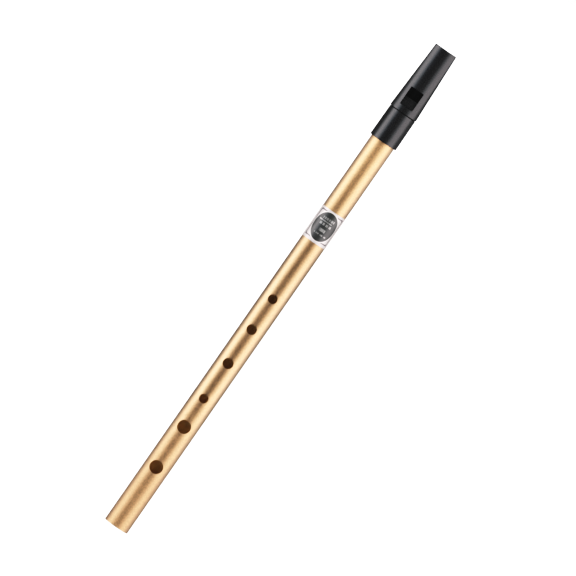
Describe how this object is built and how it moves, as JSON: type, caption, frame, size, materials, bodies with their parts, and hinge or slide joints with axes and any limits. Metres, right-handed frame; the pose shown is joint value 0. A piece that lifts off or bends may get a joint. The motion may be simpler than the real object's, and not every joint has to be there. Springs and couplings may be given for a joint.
{
  "type": "tin whistle",
  "caption": "Six-hole end-blown tin whistle: a satin gold metal tube with a foil label in a black moulded beak mouthpiece that slides and turns on the tube.",
  "frame": {"origin": "centre of the tube's open foot end, where the whistle stands", "axes": "+Z along the tube towards the mouth; the finger holes and the window face -Y; +X is to the right as the holes are seen"},
  "size_m": [0.0158, 0.0158, 0.295],
  "materials": {
    "tube": "satin gold, fine brushed grain",
    "label": "satin foil with a dark printed oval",
    "sleeve": "matte film",
    "mouthpiece": "semi-gloss moulded black",
    "fipple_block": "satin moulded black"
  },
  "bodies": {
    "tube": {"body_tube": "tube", "label": "label"},
    "sleeve": {"tuning_sleeve": "sleeve"},
    "head": {"mouthpiece": "mouthpiece", "fipple_block": "fipple_block"}
  },
  "joints": [
    {"name": "tuning_slide", "type": "slide", "parent": "tube", "child": "sleeve", "axis": [0, 0, 1], "range_m": [-0.002, 0.008]},
    {"name": "head_twist", "type": "hinge", "parent": "sleeve", "child": "head", "pos_m": [0, 0, 0.2385], "axis": [0, 0, 1], "continuous": true}
  ]
}
